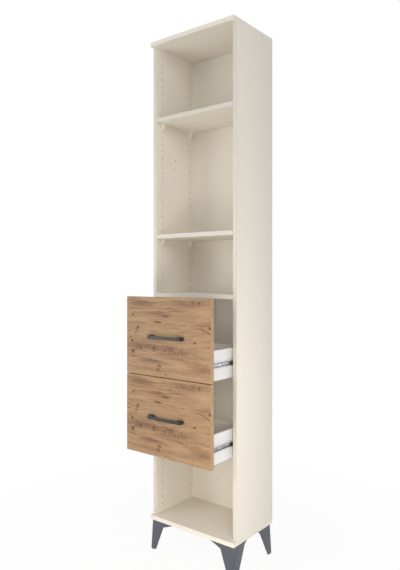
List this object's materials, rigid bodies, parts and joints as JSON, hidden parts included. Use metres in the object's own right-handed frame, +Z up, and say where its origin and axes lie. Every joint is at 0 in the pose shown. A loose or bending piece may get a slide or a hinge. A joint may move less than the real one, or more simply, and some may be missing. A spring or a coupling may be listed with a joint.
{
  "type": "storage cabinet",
  "caption": "Tall narrow cabinet on splayed folded metal legs, with open compartments and adjustable shelves above and below drawers that run on ball runners.",
  "frame": {"origin": "on the floor, at the centre of the part's box as stored with its drawers partly open", "axes": "+Z up; +Y from the drawer fronts towards the wall; +X to the right seen from the front"},
  "size_m": [0.44, 0.462, 2.2],
  "materials": {
    "carcass_board": "satin warm off-white faced board",
    "back_board": "satin warm off-white faced thin board",
    "oak_decor_board": "matt knotty oak decor, grain across",
    "white_drawer_board": "satin white faced board",
    "dark_coated_metal": "matt anthracite powder coat",
    "zinc_steel": "bright zinc plated",
    "polished_steel": "polished",
    "pale_plastic": "pale moulded",
    "black_plastic": "moulded black",
    "beech": "plain beech"
  },
  "bodies": {
    "cabinet": {"left_side_panel": "carcass_board", "right_side_panel": "carcass_board", "top_panel": "carcass_board", "bottom_panel": "carcass_board", "back_panel": "back_board", "fixed_shelf": "carcass_board", "lower_shelf": "carcass_board", "upper_shelf": "carcass_board", "lower_shelf_supports": "pale_plastic", "upper_shelf_supports": "pale_plastic", "front_left_leg": "dark_coated_metal", "front_right_leg": "dark_coated_metal", "back_left_leg": "dark_coated_metal", "back_right_leg": "dark_coated_metal", "leg_glides": "black_plastic", "leg_screws": "zinc_steel", "carcass_dowels": "beech", "cabinet_runner_screws": "zinc_steel", "upper_left_cabinet_runner": "zinc_steel", "upper_right_cabinet_runner": "zinc_steel", "lower_left_cabinet_runner": "zinc_steel", "lower_right_cabinet_runner": "zinc_steel"},
    "upper_drawer": {"upper_drawer_front": "oak_decor_board", "upper_drawer_left_side": "white_drawer_board", "upper_drawer_right_side": "white_drawer_board", "upper_drawer_back": "white_drawer_board", "upper_drawer_bottom": "white_drawer_board", "upper_drawer_handle": "dark_coated_metal", "upper_drawer_handle_screws": "zinc_steel", "upper_drawer_dowels": "beech", "upper_drawer_left_runner": "zinc_steel", "upper_drawer_right_runner": "zinc_steel", "upper_drawer_runner_screws": "zinc_steel"},
    "upper_left_cage": {"upper_left_ball_cage": "black_plastic", "upper_left_balls": "polished_steel"},
    "upper_right_cage": {"upper_right_ball_cage": "black_plastic", "upper_right_balls": "polished_steel"},
    "lower_drawer": {"lower_drawer_front": "oak_decor_board", "lower_drawer_left_side": "white_drawer_board", "lower_drawer_right_side": "white_drawer_board", "lower_drawer_back": "white_drawer_board", "lower_drawer_bottom": "white_drawer_board", "lower_drawer_handle": "dark_coated_metal", "lower_drawer_handle_screws": "zinc_steel", "lower_drawer_dowels": "beech", "lower_drawer_left_runner": "zinc_steel", "lower_drawer_right_runner": "zinc_steel", "lower_drawer_runner_screws": "zinc_steel"},
    "lower_left_cage": {"lower_left_ball_cage": "black_plastic", "lower_left_balls": "polished_steel"},
    "lower_right_cage": {"lower_right_ball_cage": "black_plastic", "lower_right_balls": "polished_steel"}
  },
  "joints": [
    {"name": "upper_drawer_slide", "type": "slide", "parent": "cabinet", "child": "upper_drawer", "axis": [0, -1, 0], "range_m": [-0.144, 0.036]},
    {"name": "upper_left_cage_slide", "type": "slide", "parent": "cabinet", "child": "upper_left_cage", "axis": [0, -1, 0], "range_m": [-0.072, 0.018]},
    {"name": "upper_right_cage_slide", "type": "slide", "parent": "cabinet", "child": "upper_right_cage", "axis": [0, -1, 0], "range_m": [-0.072, 0.018]},
    {"name": "lower_drawer_slide", "type": "slide", "parent": "cabinet", "child": "lower_drawer", "axis": [0, -1, 0], "range_m": [-0.144, 0.036]},
    {"name": "lower_left_cage_slide", "type": "slide", "parent": "cabinet", "child": "lower_left_cage", "axis": [0, -1, 0], "range_m": [-0.072, 0.018]},
    {"name": "lower_right_cage_slide", "type": "slide", "parent": "cabinet", "child": "lower_right_cage", "axis": [0, -1, 0], "range_m": [-0.072, 0.018]}
  ],
  "couplings": [
    {"joint": "upper_left_cage_slide", "follows": "upper_drawer_slide", "ratio": 0.5},
    {"joint": "upper_right_cage_slide", "follows": "upper_drawer_slide", "ratio": 0.5},
    {"joint": "lower_left_cage_slide", "follows": "lower_drawer_slide", "ratio": 0.5},
    {"joint": "lower_right_cage_slide", "follows": "lower_drawer_slide", "ratio": 0.5}
  ]
}
